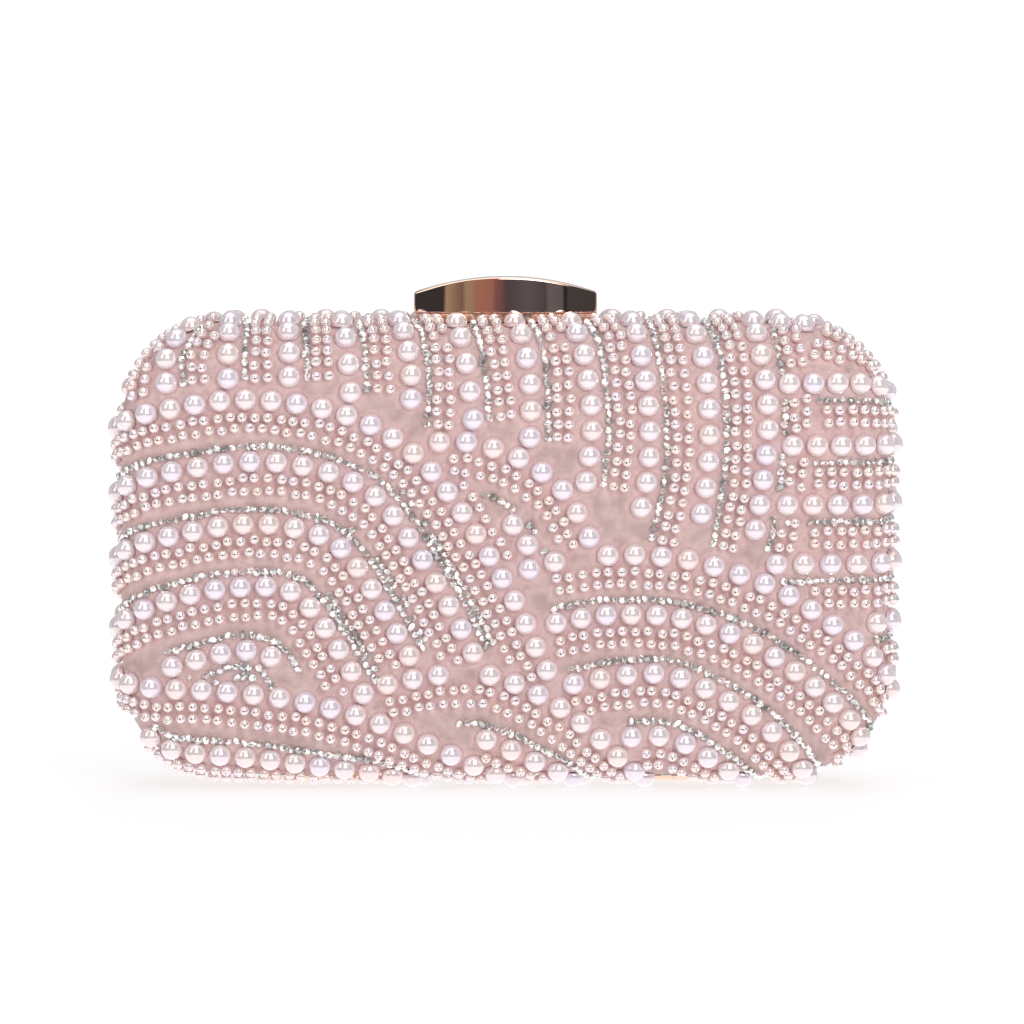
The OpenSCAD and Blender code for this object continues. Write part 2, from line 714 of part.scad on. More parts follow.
// ---- Loops for a shoulder chain ----------------------------------------------------
module chain_loop(side)
    color("goldenrod")
        difference() {
            translate([side * loop_x, 0, 0]) {
                translate([-loop_plate_l / 2, loop_d0, case_top - lining_t1 - bead_gap - leaf_t])
                    cube([loop_plate_l, loop_plate_d, leaf_t]);
                translate([-loop_r, loop_d0, case_top - loop_drop])
                    cube([2 * loop_r, loop_t, loop_drop - lining_t1 - bead_gap - leaf_t / 2]);
                translate([0, loop_d0, case_top - loop_drop])
                    rotate([-90, 0, 0])
                        cylinder(h = loop_t, r = loop_r);
            }
            translate([side * loop_x, loop_d0 - 1, case_top - loop_drop])
                rotate([-90, 0, 0])
                    cylinder(h = loop_t + 2, r = loop_hole_r);
            loop_holes();
        }
module chain_loop_left() chain_loop(-1);
module chain_loop_right() chain_loop(1);
module chain_loop_rivets()
    color("silver")
        at_loop_rivets() {
            translate([0, 0, -lining_t1 - bead_gap - leaf_t - 0.02 - rivet_head_h])
                cylinder(h = rivet_head_h, r = rivet_head_r);
            translate([0, 0, -lining_t1 - bead_gap - leaf_t - 0.03])
                cylinder(h = lining_t1 + bead_gap + leaf_t + 0.03 - flange_t0, r = rivet_r);
        }

// ---- Pearls and stones -------------------------------------------------------------
// Large pearls: balls with a flat back, which lies on the cover
module flat_backed(list)
    for (b = list)
        translate(b[0])
            rotate([0, acos(b[1].z), atan2(b[1].y, b[1].x)])
                difference() {
                    sphere(pearl_d / 2, $fn = 24);
                    translate([-pearl_d, -pearl_d, -pearl_d - pearl_lift + bead_gap])
                        cube([2 * pearl_d, 2 * pearl_d, pearl_d]);
                }
// The large pearls left (side = -1) or right (side = 1) of the middle, but for the base
module half_pearls(side)
    color("seashell")
        flat_backed([for (b = large_pearls())
            if (!is_base(b) && (side > 0) == (b[0].x > 0)) b]);
module half_base_pearls()
    color("seashell")
        flat_backed([for (b = large_pearls()) if (is_base(b)) b]);
// The small pearls of one quarter: left or right, and below or above the middle
module half_seeds(side, level)
    color("mistyrose")
        for (b = small_pearls(large_pearls()))
            if ((side > 0) == (b[0].x > 0) && (level > 0) == (b[0].y > 0))
                translate(b[0])
                    sphere(seed_d / 2, $fn = 16);
// Each stone is a tapered disc whose foot stands on the cover
module half_stones() {
    large = large_pearls();
    color("lightsteelblue")
        for (b = stones(large, small_pearls(large)))
            translate(b[0] - b[1] * (stone_lift - bead_gap))
                rotate([0, acos(b[1].z), atan2(b[1].y, b[1].x)])
                    cylinder(h = stone_h, r1 = stone_d / 2, r2 = stone_d * 0.3, $fn = 16);
}
module front_large_pearls_left() front_half() half_pearls(-1);
module front_large_pearls_right() front_half() half_pearls(1);
module front_base_pearls() front_half() half_base_pearls();
module front_small_pearls_upper_left() front_half() half_seeds(-1, 1);
module front_small_pearls_upper_right() front_half() half_seeds(1, 1);
module front_small_pearls_lower_left() front_half() half_seeds(-1, -1);
module front_small_pearls_lower_right() front_half() half_seeds(1, -1);
module front_stones() front_half() half_stones();
// Seen from the front, the rear half's left is its own right
module rear_large_pearls_left() rear_half() half_pearls(1);
module rear_large_pearls_right() rear_half() half_pearls(-1);
module rear_base_pearls() rear_half() half_base_pearls();
module rear_small_pearls_upper_left() rear_half() half_seeds(1, 1);
module rear_small_pearls_upper_right() rear_half() half_seeds(-1, 1);
module rear_small_pearls_lower_left() rear_half() half_seeds(1, -1);
module rear_small_pearls_lower_right() rear_half() half_seeds(-1, -1);
module rear_stones() rear_half() half_stones();

rear_shell();
rear_cover();
rear_padding();
rear_lining();
rear_frame();
front_shell();
front_cover();
front_padding();
front_lining();
front_frame();
slip_pocket();
rear_hinge_leaves();
front_hinge_leaves();
hinge_pins();
rear_hinge_rivets();
front_hinge_rivets();
clasp_cap();
clasp_base();
clasp_posts();
clasp_springs();
clasp_hook();
post_clips();
clasp_screws();
clasp_keeper();
keeper_rivets();
chain_loop_left();
chain_loop_right();
chain_loop_rivets();
front_large_pearls_left();
front_large_pearls_right();
front_base_pearls();
front_small_pearls_upper_left();
front_small_pearls_upper_right();
front_small_pearls_lower_left();
front_small_pearls_lower_right();
front_stones();
rear_large_pearls_left();
rear_large_pearls_right();
rear_base_pearls();
rear_small_pearls_upper_left();
rear_small_pearls_upper_right();
rear_small_pearls_lower_left();
rear_small_pearls_lower_right();
rear_stones();
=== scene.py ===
"""The looks of a pearl-beaded box evening bag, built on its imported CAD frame.

The front face looks along -Y, X is the width and Z is up, all in metres. The covers, wadding,
linings and pocket and all the pearls, beads and stones are remade here in finer detail. The
clasp cap and most metal parts get broken edges. The shells, pins, posts and clips keep their
CAD shape and take their finishes here.
"""
import json
import math
import random
import bpy
import numpy as np
from mathutils import Matrix, Vector
from mathutils.bvhtree import BVHTree
from mathutils.kdtree import KDTree


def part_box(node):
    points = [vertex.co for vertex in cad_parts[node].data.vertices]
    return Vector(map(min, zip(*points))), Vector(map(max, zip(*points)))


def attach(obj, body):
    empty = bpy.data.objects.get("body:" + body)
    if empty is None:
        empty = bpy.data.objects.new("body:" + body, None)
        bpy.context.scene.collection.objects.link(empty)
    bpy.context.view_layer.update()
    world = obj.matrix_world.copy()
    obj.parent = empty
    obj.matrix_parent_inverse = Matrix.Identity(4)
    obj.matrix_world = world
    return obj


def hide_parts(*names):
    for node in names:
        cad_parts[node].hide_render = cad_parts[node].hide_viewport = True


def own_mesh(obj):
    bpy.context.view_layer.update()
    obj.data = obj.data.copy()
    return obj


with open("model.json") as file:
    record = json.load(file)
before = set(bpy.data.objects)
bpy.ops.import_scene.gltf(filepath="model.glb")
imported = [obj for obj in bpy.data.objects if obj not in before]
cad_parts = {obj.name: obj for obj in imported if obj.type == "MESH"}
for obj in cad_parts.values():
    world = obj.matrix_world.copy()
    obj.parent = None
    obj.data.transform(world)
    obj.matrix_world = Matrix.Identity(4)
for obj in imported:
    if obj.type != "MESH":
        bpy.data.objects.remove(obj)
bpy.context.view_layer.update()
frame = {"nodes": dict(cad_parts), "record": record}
NODES = frame["nodes"]
MM = 0.001
BODY_OF_HALF = {"front": "front_half", "rear": "rear_half"}
BODY_OF_NODE = {node: body for body, nodes in frame["record"]["behaviour"]["bodies"].items()
                for node in nodes}
SLOT_OF_NODE = {row["node"]: row["material_slot"] for row in frame["record"]["subparts"]}
QUARTERS = ("upper_left", "upper_right", "lower_left", "lower_right")


# ---- Camera, light and floor ---------------------------------------------------------
FRAMED_WIDTH = 262.6 * MM         # width of the view at the front face
CAMERA_DISTANCE = 1.25
SENSOR_WIDTH = 36
CAMERA_RISE = math.radians(4.0)
AIM = Vector((1.7 * MM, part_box("front_cover")[0].y, 72.6 * MM))


def place_camera():
    data = bpy.data.cameras.new("camera")
    data.sensor_width = SENSOR_WIDTH
    data.lens = SENSOR_WIDTH * CAMERA_DISTANCE / FRAMED_WIDTH
    data.clip_start = 0.01
    data.clip_end = 50
    camera = bpy.data.objects.new("camera", data)
    bpy.context.collection.objects.link(camera)
    back = Vector((0, -math.cos(CAMERA_RISE), math.sin(CAMERA_RISE)))
    camera.location = AIM + back * CAMERA_DISTANCE
    camera.rotation_euler = (-back).to_track_quat("-Z", "Y").to_euler()
    bpy.context.scene.camera = camera


def softbox(name, place, size, power, colour=(1, 1, 1), aim=(0, 0, 0.06)):
    data = bpy.data.lights.new(name, "AREA")
    data.shape = "RECTANGLE"
    data.size, data.size_y = size
    data.energy = power
    data.color = colour
    lamp = bpy.data.objects.new(name, data)
    bpy.context.collection.objects.link(lamp)
    lamp.location = place
    lamp.rotation_euler = (Vector(aim) - Vector(place)).to_track_quat("-Z", "Y").to_euler()
    lamp.visible_glossy = False


def light_studio():
    softbox("key_softbox", (0.36, -0.85, 0.42), (0.16, 0.50), 2.7)
    softbox("left_softbox", (-0.62, -0.75, 0.40), (0.10, 0.36), 0.8)
    softbox("overhead", (0.0, -0.10, 1.10), (0.9, 0.7), 2.2)
    softbox("rear_fill", (0.1, 0.9, 0.7), (0.6, 0.6), 2.8)


# Stripes of the dim room that the mirror-bright clasp faces, as (share of the turn
# round the bag from its left to its right, colour)
ROOM_STRIPES = (
    (0.00, (0.55, 0.55, 0.57)), (0.23, (0.35, 0.34, 0.34)),
    (0.30, (0.041, 0.043, 0.052)), (0.4275, (0.041, 0.043, 0.052)),
    (0.4295, (0.37, 0.31, 0.22)), (0.450, (0.18, 0.14, 0.115)),
    (0.4515, (0.34, 0.28, 0.22)), (0.463, (0.33, 0.27, 0.21)),
    (0.464, (0.36, 0.20, 0.17)), (0.4865, (0.32, 0.17, 0.145)),
    (0.488, (0.21, 0.12, 0.125)), (0.4995, (0.13, 0.08, 0.10)),
    (0.5005, (0.07, 0.07, 0.09)), (0.525, (0.11, 0.118, 0.146)),
    (0.5495, (0.074, 0.077, 0.096)), (0.5505, (0.137, 0.144, 0.18)),
    (0.5665, (0.12, 0.13, 0.16)), (0.568, (0.015, 0.02, 0.025)),
    (0.572, (0.015, 0.02, 0.025)), (0.574, (0.06, 0.065, 0.075)),
    (0.70, (0.05, 0.055, 0.065)), (0.77, (0.35, 0.34, 0.34)), (1.00, (0.55, 0.55, 0.57)),
)
# Brightness of the room by height, and of its two tall windows by turn and by height
ROOM_RISE = ((0.0, (0.65,) * 3), (0.37, (0.6,) * 3), (0.41, (0,) * 3), (0.90, (0,) * 3),
             (0.94, (0.8,) * 3), (1.0, (1, 1, 1)))
WINDOW_TURN = ((0.315, (0,) * 3), (0.325, (0.45,) * 3), (0.395, (0.45,) * 3), (0.402, (0,) * 3),
               (0.488, (0,) * 3), (0.494, (1, 1, 1)), (0.580, (1, 1, 1)), (0.588, (0,) * 3))
WINDOW_RISE = ((0.57, (0,) * 3), (0.60, (1, 1, 1)), (0.90, (1, 1, 1)), (0.94, (0,) * 3))
WINDOW_GLOW = 4.5
ROOM_BRIGHT = (1.75, 1.75, 1.8, 1)       # what the room rises to at its foot and its ceiling
SOFT_WHITE = (1, 0.985, 0.98, 1)
SOFT_GLOW = 0.47                         # the surround as every ray but a mirror's meets it
PAPER_GLOW = 1.15                        # background and far floor as the camera sees them
FLOOR_SIZE = 6.0
FLOOR_DROP = 0.0002
FLOOR_FADE = (0.10, 0.45)                # distances over which the floor turns to plain glow


def stretch_ramp(ramp, stops):
    while len(ramp.elements) > len(stops):
        ramp.elements.remove(ramp.elements[-1])
    while len(ramp.elements) < len(stops):
        ramp.elements.new(0.5)
    for element, (at, colour) in zip(ramp.elements, stops):
        element.position = at
        element.color = (*colour, 1)


def wire(tree, *pairs):
    for source, target in pairs:
        tree.links.new(source, target)


def surround_with_room():
    """White for the camera and for soft light; a dim striped room in mirror reflections."""
    world = bpy.data.worlds.new("studio")
    bpy.context.scene.world = world
    world.use_nodes = True
    world.cycles.sampling_method = "NONE"
    tree = world.node_tree
    tree.nodes.clear()
    new = tree.nodes.new
    coordinate, split = new("ShaderNodeTexCoord"), new("ShaderNodeSeparateXYZ")
    turn, share = new("ShaderNodeMath"), new("ShaderNodeMapRange")
    turn.operation = "ARCTAN2"
    flip = new("ShaderNodeMath")
    flip.operation = "MULTIPLY"
    flip.inputs[1].default_value = -1
    share.inputs["From Min"].default_value = -math.pi
    share.inputs["From Max"].default_value = math.pi
    stripes = new("ShaderNodeValToRGB")
    stretch_ramp(stripes.color_ramp, ROOM_STRIPES)
    rise, window_turn, window_rise = (new("ShaderNodeValToRGB") for _ in range(3))
    stretch_ramp(rise.color_ramp, ROOM_RISE)
    stretch_ramp(window_turn.color_ramp, WINDOW_TURN)
    stretch_ramp(window_rise.color_ramp, WINDOW_RISE)
    pane, glow, windows = new("ShaderNodeMath"), new("ShaderNodeMath"), new("ShaderNodeBackground")
    pane.operation = "MULTIPLY"
    glow.operation = "MULTIPLY"
    glow.inputs[1].default_value = WINDOW_GLOW
    both = new("ShaderNodeAddShader")
    lift = new("ShaderNodeMapRange")
    lift.inputs["From Min"].default_value = -1
    room = new("ShaderNodeMix")
    room.data_type = "RGBA"
    room.inputs["B"].default_value = ROOM_BRIGHT
    light_path = new("ShaderNodeLightPath")
    mirror, soft = new("ShaderNodeBackground"), new("ShaderNodeBackground")
    soft.inputs["Color"].default_value = SOFT_WHITE
    soft.inputs["Strength"].default_value = SOFT_GLOW
    seen, mix, out = new("ShaderNodeBackground"), new("ShaderNodeMixShader"), new("ShaderNodeMixShader")
    seen.inputs["Color"].default_value = (1, 1, 1, 1)
    seen.inputs["Strength"].default_value = PAPER_GLOW
    end = new("ShaderNodeOutputWorld")
    wire(tree,
         (coordinate.outputs["Generated"], split.inputs[0]),
         (split.outputs["X"], turn.inputs[0]), (split.outputs["Y"], flip.inputs[0]),
         (flip.outputs[0], turn.inputs[1]), (turn.outputs[0], share.inputs["Value"]),
         (share.outputs["Result"], stripes.inputs["Fac"]),
         (split.outputs["Z"], lift.inputs["Value"]), (lift.outputs["Result"], rise.inputs["Fac"]),
         (rise.outputs["Color"], room.inputs["Factor"]), (stripes.outputs["Color"], room.inputs["A"]),
         (room.outputs["Result"], mirror.inputs["Color"]),
         (share.outputs["Result"], window_turn.inputs["Fac"]),
         (lift.outputs["Result"], window_rise.inputs["Fac"]),
         (window_turn.outputs["Color"], pane.inputs[0]), (window_rise.outputs["Color"], pane.inputs[1]),
         (pane.outputs[0], glow.inputs[0]), (glow.outputs[0], windows.inputs["Strength"]),
         (mirror.outputs[0], both.inputs[0]), (windows.outputs[0], both.inputs[1]),
         (light_path.outputs["Is Glossy Ray"], mix.inputs[0]),
         (soft.outputs[0], mix.inputs[1]), (both.outputs[0], mix.inputs[2]),
         (light_path.outputs["Is Camera Ray"], out.inputs[0]),
         (mix.outputs[0], out.inputs[1]), (seen.outputs[0], out.inputs[2]),
         (out.outputs[0], end.inputs["Surface"]))


def floor_finish():
    """White paper that glows evenly, with soft shading only close round the bag."""
    material, shader = new_finish("floor_paper", (0.95, 0.95, 0.95), 0.9)
    tree, new = material.node_tree, material.node_tree.nodes.new
    place, ball, fade = new("ShaderNodeTexCoord"), new("ShaderNodeVectorMath"), new("ShaderNodeMapRange")
    ball.operation = "LENGTH"
    fade.inputs["From Min"].default_value, fade.inputs["From Max"].default_value = FLOOR_FADE
    fade.inputs["To Min"].default_value = 0.6
    glow, mix = new("ShaderNodeEmission"), new("ShaderNodeMixShader")
    glow.inputs["Strength"].default_value = PAPER_GLOW
    wire(tree, (place.outputs["Object"], ball.inputs[0]), (ball.outputs["Value"], fade.inputs["Value"]),
         (fade.outputs["Result"], mix.inputs[0]), (shader.outputs[0], mix.inputs[1]),
         (glow.outputs[0], mix.inputs[2]), (mix.outputs[0], tree.nodes["Material Output"].inputs["Surface"]))
    return material


def lay_floor():
    bpy.ops.mesh.primitive_plane_add(size=FLOOR_SIZE, location=(0, 0, -FLOOR_DROP))
    floor = bpy.context.object
    floor.name = "floor"
    floor.visible_glossy = False
    floor.data.materials.append(floor_finish())


# ---- Shared shader effects -------------------------------------------------------------
def effect_group(name, inputs, outputs):
    """An empty node group with named sockets, as (group, its nodes' maker, start, end)."""
    group = bpy.data.node_groups.new(name, "ShaderNodeTree")
    for kind, label, value in inputs:
        socket = group.interface.new_socket(label, in_out="INPUT", socket_type=kind)
        socket.default_value = value
    for kind, label in outputs:
        group.interface.new_socket(label, in_out="OUTPUT", socket_type=kind)
    return group, group.nodes.new, group.nodes.new("NodeGroupInput"), group.nodes.new("NodeGroupOutput")


def make_two_tone():
    """Two colours mottled by noise of a chosen size."""
    group, new, start, end = effect_group(
        "two_tone",
        (("NodeSocketColor", "Colour A", (1, 1, 1, 1)), ("NodeSocketColor", "Colour B", (1, 1, 1, 1)),
         ("NodeSocketFloat", "Scale", 50.0), ("NodeSocketFloat", "Contrast", 0.5)),
        (("NodeSocketColor", "Colour"), ("NodeSocketFloat", "Mask")))
    place, noise, spread, mix = (new("ShaderNodeTexCoord"), new("ShaderNodeTexNoise"),
                                 new("ShaderNodeMapRange"), new("ShaderNodeMix"))
    noise.inputs["Detail"].default_value = 4
    mix.data_type = "RGBA"
    low, high = new("ShaderNodeMath"), new("ShaderNodeMath")
    low.operation, high.operation = "SUBTRACT", "ADD"
    low.inputs[0].default_value = 0.5
    high.inputs[0].default_value = 0.5
    wire(group,
         (place.outputs["Object"], noise.inputs["Vector"]), (start.outputs["Scale"], noise.inputs["Scale"]),
         (start.outputs["Contrast"], low.inputs[1]), (start.outputs["Contrast"], high.inputs[1]),
         (noise.outputs["Fac"], spread.inputs["Value"]),
         (low.outputs[0], spread.inputs["From Min"]), (high.outputs[0], spread.inputs["From Max"]),
         (spread.outputs["Result"], mix.inputs["Factor"]),
         (start.outputs["Colour A"], mix.inputs["A"]), (start.outputs["Colour B"], mix.inputs["B"]),
         (mix.outputs["Result"], end.inputs["Colour"]), (spread.outputs["Result"], end.inputs["Mask"]))
    return group


def make_nap():
    """Height of a short brushed pile: fine fibres over soft creases."""
    group, new, start, end = effect_group(
        "nap",
        (("NodeSocketFloat", "Fibre Scale", 2500.0), ("NodeSocketFloat", "Crease Scale", 90.0),
         ("NodeSocketFloat", "Crease Share", 0.5)),
        (("NodeSocketFloat", "Height"),))
    place, fibre, crease, mix = (new("ShaderNodeTexCoord"), new("ShaderNodeTexNoise"),
                                 new("ShaderNodeTexNoise"), new("ShaderNodeMix"))
    fibre.inputs["Detail"].default_value = 3
    crease.inputs["Detail"].default_value = 5
    crease.inputs["Distortion"].default_value = 0.6
    wire(group,
         (place.outputs["Object"], fibre.inputs["Vector"]),
         (place.outputs["Object"], crease.inputs["Vector"]),
         (start.outputs["Fibre Scale"], fibre.inputs["Scale"]),
         (start.outputs["Crease Scale"], crease.inputs["Scale"]),
         (start.outputs["Crease Share"], mix.inputs["Factor"]),
         (fibre.outputs["Fac"], mix.inputs["A"]), (crease.outputs["Fac"], mix.inputs["B"]),
         (mix.outputs["Result"], end.inputs["Height"]))
    return group


def make_scuffs():
    """Roughness of polished metal, with faint hairlines and smears."""
    group, new, start, end = effect_group(
        "scuffs",
        (("NodeSocketFloat", "Polish", 0.05), ("NodeSocketFloat", "Smear", 0.06)),
        (("NodeSocketFloat", "Roughness"), ("NodeSocketFloat", "Height")))
    place, mapping, noise, lines = (new("ShaderNodeTexCoord"), new("ShaderNodeMapping"),
                                    new("ShaderNodeTexNoise"), new("ShaderNodeTexNoise"))
    mapping.inputs["Scale"].default_value = (60, 900, 900)
    noise.inputs["Scale"].default_value = 120
    noise.inputs["Detail"].default_value = 6
    lines.inputs["Scale"].default_value = 1
    scale, total = new("ShaderNodeMath"), new("ShaderNodeMath")
    scale.operation, total.operation = "MULTIPLY", "ADD"
    wire(group,
         (place.outputs["Object"], noise.inputs["Vector"]),
         (place.outputs["Object"], mapping.inputs["Vector"]),
         (mapping.outputs[0], lines.inputs["Vector"]),
         (noise.outputs["Fac"], scale.inputs[0]), (start.outputs["Smear"], scale.inputs[1]),
         (scale.outputs[0], total.inputs[0]), (start.outputs["Polish"], total.inputs[1]),
         (total.outputs[0], end.inputs["Roughness"]), (lines.outputs["Fac"], end.inputs["Height"]))
    return group


TWO_TONE, NAP, SCUFFS = make_two_tone(), make_nap(), make_scuffs()


def place_effect(material, group, **values):
    node = material.node_tree.nodes.new("ShaderNodeGroup")
    node.node_tree = group
    for label, value in values.items():
        node.inputs[label.replace("_", " ")].default_value = value
    return node


def new_finish(name, colour, roughness, metallic=0.0):
    material = bpy.data.materials.new(name)
    material.use_nodes = True
    shader = material.node_tree.nodes["Principled BSDF"]
    shader.inputs["Base Color"].default_value = (*colour, 1)
    shader.inputs["Roughness"].default_value = roughness
    shader.inputs["Metallic"].default_value = metallic
    return material, shader


def add_bump(material, shader, height, strength, distance):
    bump = material.node_tree.nodes.new("ShaderNodeBump")
    bump.inputs["Strength"].default_value = strength
    bump.inputs["Distance"].default_value = distance
    wire(material.node_tree, (height, bump.inputs["Height"]), (bump.outputs[0], shader.inputs["Normal"]))


def tone_colours(material, stops):
    """Colours for the tone that each copied pearl or stone carries."""
    tone = material.node_tree.nodes.new("ShaderNodeAttribute")
    tone.attribute_name = "tone"
    ramp = material.node_tree.nodes.new("ShaderNodeValToRGB")
    stretch_ramp(ramp.color_ramp, stops)
    wire(material.node_tree, (tone.outputs["Fac"], ramp.inputs["Fac"]))
    return ramp.outputs["Color"]


# ---- Finishes --------------------------------------------------------------------------
def velvet_finish():
    """Dusty pink pile, greyer in the bare bands, with painted bounce light: paler pink around each sewn
    bead.
    """
    material, shader = new_finish("velvet", (0.55, 0.39, 0.37), 0.85)
    tree, new = material.node_tree, material.node_tree.nodes.new
    bare = place_effect(material, TWO_TONE, Colour_A=(0.52, 0.37, 0.36, 1),
                        Colour_B=(0.68, 0.50, 0.48, 1), Scale=260.0, Contrast=0.16)
    # Painted light: this paler pink near the beads stands for light bounced off the pearls.
    painted_bounce_glow = place_effect(material, TWO_TONE, Colour_A=(0.82, 0.55, 0.54, 1),
                        Colour_B=(0.95, 0.72, 0.70, 1), Scale=330.0, Contrast=0.16)
    sewn, mix = new("ShaderNodeAttribute"), new("ShaderNodeMix")
    sewn.attribute_name = "near_bead"
    mix.data_type = "RGBA"
    nap = place_effect(material, NAP, Fibre_Scale=2600.0, Crease_Scale=420.0, Crease_Share=0.5)
    wire(tree, (sewn.outputs["Fac"], mix.inputs["Factor"]), (bare.outputs["Colour"], mix.inputs["A"]),
         (painted_bounce_glow.outputs["Colour"], mix.inputs["B"]), (mix.outputs["Result"], shader.inputs["Base Color"]))
    shader.inputs["Sheen Weight"].default_value = 0.35
    shader.inputs["Sheen Roughness"].default_value = 0.35
    shader.inputs["Sheen Tint"].default_value = (1.0, 0.93, 0.93, 1)
    shader.inputs["Specular IOR Level"].default_value = 0.25
    add_bump(material, shader, nap.outputs["Height"], 0.85, 0.5 * MM)
    return material


def satin_finish(name, deep, light):
    material, shader = new_finish(name, light, 0.42)
    colour = place_effect(material, TWO_TONE, Colour_A=(*deep, 1), Colour_B=(*light, 1),
                          Scale=35.0, Contrast=0.22)
    nap = place_effect(material, NAP, Fibre_Scale=1800.0, Crease_Scale=45.0, Crease_Share=0.85)
    wire(material.node_tree, (colour.outputs["Colour"], shader.inputs["Base Color"]))
    shader.inputs["Anisotropic"].default_value = 0.5
    shader.inputs["Sheen Weight"].default_value = 0.2
    shader.inputs["Sheen Roughness"].default_value = 0.3
    add_bump(material, shader, nap.outputs["Height"], 0.5, 0.8 * MM)
    return material


def pearl_finish(name, body, blush, cool, lustre):
    """Nacre: a soft milky body, a pinker rim, and a clear glossy coat."""
    material, shader = new_finish(name, body, 0.08, lustre)
    tree, new = material.node_tree, material.node_tree.nodes.new
    colour = tone_colours(material, ((0.0, cool), (0.45, body), (0.75, body), (1.0, blush)))
    facing, rim, mix = new("ShaderNodeLayerWeight"), new("ShaderNodeMapRange"), new("ShaderNodeMix")
    facing.inputs["Blend"].default_value = 0.5
    rim.inputs["From Min"].default_value = 0.6
    rim.inputs["From Max"].default_value = 1.0
    rim.inputs["To Max"].default_value = 0.5
    mix.data_type = "RGBA"
    mix.inputs["B"].default_value = (0.95, 0.70, 0.66, 1)
    wire(tree, (facing.outputs["Facing"], rim.inputs["Value"]),
         (rim.outputs["Result"], mix.inputs["Factor"]), (colour, mix.inputs["A"]),
         (mix.outputs["Result"], shader.inputs["Base Color"]))
    shader.inputs["IOR"].default_value = 1.6
    shader.inputs["Coat Weight"].default_value = 1.0
    shader.inputs["Coat Roughness"].default_value = 0.03
    shader.inputs["Coat IOR"].default_value = 1.6
    return material


def stone_finish():
    """Foil-backed glass chips: bright facets, some clear and some smoky."""
    material, shader = new_finish("stone", (0.8, 0.8, 0.83), 0.06, 0.7)
    colour = tone_colours(material, ((0.0, (0.42, 0.42, 0.41)), (0.2, (0.82, 0.82, 0.80)),
                                     (0.8, (0.98, 0.98, 0.96)), (1.0, (0.98, 0.88, 0.85))))
    wire(material.node_tree, (colour, shader.inputs["Base Color"]))
    shader.inputs["Coat Weight"].default_value = 0.6
    return material


def metal_finish(name, colour, polish, smear, hairline):
    material, shader = new_finish(name, colour, polish, 1.0)
    scuffs = place_effect(material, SCUFFS, Polish=polish, Smear=smear)
    wire(material.node_tree, (scuffs.outputs["Roughness"], shader.inputs["Roughness"]))
    if hairline:
        add_bump(material, shader, scuffs.outputs["Height"], hairline, 0.05 * MM)
    return material


def plain_weave_finish(name, deep, light, scale):
    material, shader = new_finish(name, light, 0.9)
    colour = place_effect(material, TWO_TONE, Colour_A=(*deep, 1), Colour_B=(*light, 1),
                          Scale=scale, Contrast=0.2)
    nap = place_effect(material, NAP, Fibre_Scale=1500.0, Crease_Scale=200.0, Crease_Share=0.3)
    wire(material.node_tree, (colour.outputs["Colour"], shader.inputs["Base Color"]))
    add_bump(material, shader, nap.outputs["Height"], 0.5, 0.3 * MM)
    return material


VELVET = velvet_finish()
SATIN = satin_finish("satin", (0.62, 0.36, 0.34), (0.80, 0.55, 0.52))
POCKET_SATIN = satin_finish("pocket_satin", (0.66, 0.40, 0.38), (0.85, 0.60, 0.57))
PEARL = pearl_finish("pearl", (0.95, 0.83, 0.85), (0.96, 0.80, 0.77), (0.91, 0.82, 0.91), 0.27)
SMALL_PEARL = pearl_finish("small_pearl", (0.97, 0.84, 0.82), (0.98, 0.80, 0.74), (0.94, 0.83, 0.87), 0.42)
# Dark brown inside of the small pearls' pits: a painted reflection of the dim room.
PAINTED_REFLECTION_PIT = plain_weave_finish("painted_reflection_pit", (0.16, 0.08, 0.07), (0.28, 0.16, 0.13), 900)
STONE = stone_finish()
ROSE_MIRROR = metal_finish("rose_mirror", (0.93, 0.66, 0.52), 0.005, 0.015, 0.0)
ROSE_METAL = metal_finish("rose_metal", (0.90, 0.64, 0.50), 0.12, 0.12, 0.15)
STEEL = metal_finish("steel", (0.62, 0.61, 0.60), 0.22, 0.15, 0.3)
BOARD = plain_weave_finish("board", (0.42, 0.32, 0.24), (0.55, 0.44, 0.34), 300)
FOAM = plain_weave_finish("wadding", (0.80, 0.78, 0.75), (0.90, 0.88, 0.86), 250)
THREAD = plain_weave_finish("thread", (0.60, 0.32, 0.30), (0.74, 0.44, 0.42), 900)
FINISHES = {"rose_metal": ROSE_METAL, "steel": STEEL, "board": BOARD, "foam": FOAM}


# ---- Making pieces ---------------------------------------------------------------------
def pick(piece):
    bpy.ops.object.select_all(action="DESELECT")
    piece.select_set(True)
    bpy.context.view_layer.objects.active = piece


def begin_edit(piece, mode="FACE"):
    pick(piece)
    bpy.ops.object.mode_set(mode="EDIT")
    bpy.ops.mesh.select_mode(type=mode)
    bpy.ops.mesh.select_all(action="DESELECT")


def end_edit():
    bpy.ops.object.mode_set(mode="OBJECT")


def choose_faces(piece, wanted):
    """Selects the faces for which wanted(centre, normal) holds, in edit mode."""
    bpy.ops.object.mode_set(mode="OBJECT")
    for face in piece.data.polygons:
        face.select = bool(wanted(face.center, face.normal))
    bpy.ops.object.mode_set(mode="EDIT")


def add_modifier(piece, kind, **settings):
    pick(piece)
    modifier = piece.modifiers.new(kind.lower(), kind)
    for key, value in settings.items():
        setattr(modifier, key, value)
    bpy.ops.object.modifier_apply(modifier=modifier.name)


def copy_of(node, name, finish):
    """A free copy of a CAD node's mesh, closed up, ready to be shaped further."""
    piece = NODES[node].copy()
    piece.data = NODES[node].data.copy()
    piece.name = name
    piece.parent = None
    bpy.context.collection.objects.link(piece)
    piece.data.materials.clear()
    piece.data.materials.append(finish)
    begin_edit(piece, "VERT")
    bpy.ops.mesh.select_all(action="SELECT")
    bpy.ops.mesh.remove_doubles(threshold=1e-6)
    end_edit()
    return piece


def smooth(piece, degrees=35):
    pick(piece)
    bpy.ops.object.shade_smooth_by_angle(angle=math.radians(degrees))


